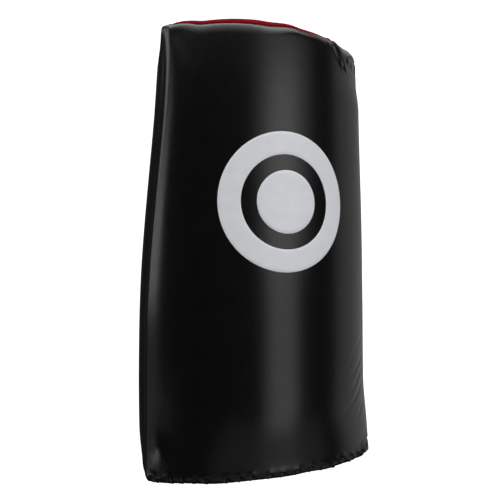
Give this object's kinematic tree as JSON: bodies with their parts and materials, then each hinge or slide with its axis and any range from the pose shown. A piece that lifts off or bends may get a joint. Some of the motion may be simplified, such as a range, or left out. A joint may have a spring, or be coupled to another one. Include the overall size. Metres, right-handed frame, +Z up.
{
  "type": "wall punch pad",
  "caption": "Upright padded wall target for punching: curved striking face on a flat board, drawn in towards the top, with a printed round target and tee nuts in its back for wall bolts.",
  "frame": {"origin": "middle of the flat back, on the plane of the wall", "axes": "+Y into the wall, so the striking face looks along -Y; +Z up; +X to the right as seen from the front"},
  "size_m": [0.3792, 0.1814, 0.65],
  "materials": {
    "black_leather": "satin, fine grain",
    "red_leather": "satin, fine grain",
    "target_print": "flexible screen-printed film, satin",
    "felt": "needled wadding",
    "strike_foam": "closed-cell sheet",
    "foam": "open-cell foam",
    "plywood": "sanded birch plywood",
    "back_fabric": "woven polypropylene",
    "zinc_steel": "zinc plated",
    "staple_wire": "galvanised",
    "black_thread": "waxed thread"
  },
  "bodies": {
    "root": {"front_cover": "black_leather", "top_end_panel": "red_leather", "bottom_end_panel": "red_leather", "target_ring": "target_print", "target_disc": "target_print", "bottom_closing_stitches": "black_thread", "felt_wrap": "felt", "strike_sheet": "strike_foam", "comfort_foam": "foam", "core_block": "foam", "left_side_foam": "foam", "right_side_foam": "foam", "top_end_foam": "foam", "bottom_end_foam": "foam", "backboard": "plywood", "tee_nut_top_left": "zinc_steel", "tee_nut_top_right": "zinc_steel", "tee_nut_bottom_left": "zinc_steel", "tee_nut_bottom_right": "zinc_steel", "back_cloth": "back_fabric", "staples_left": "staple_wire", "staples_right": "staple_wire", "staples_top": "staple_wire", "staples_bottom": "staple_wire"}
  },
  "joints": []
}
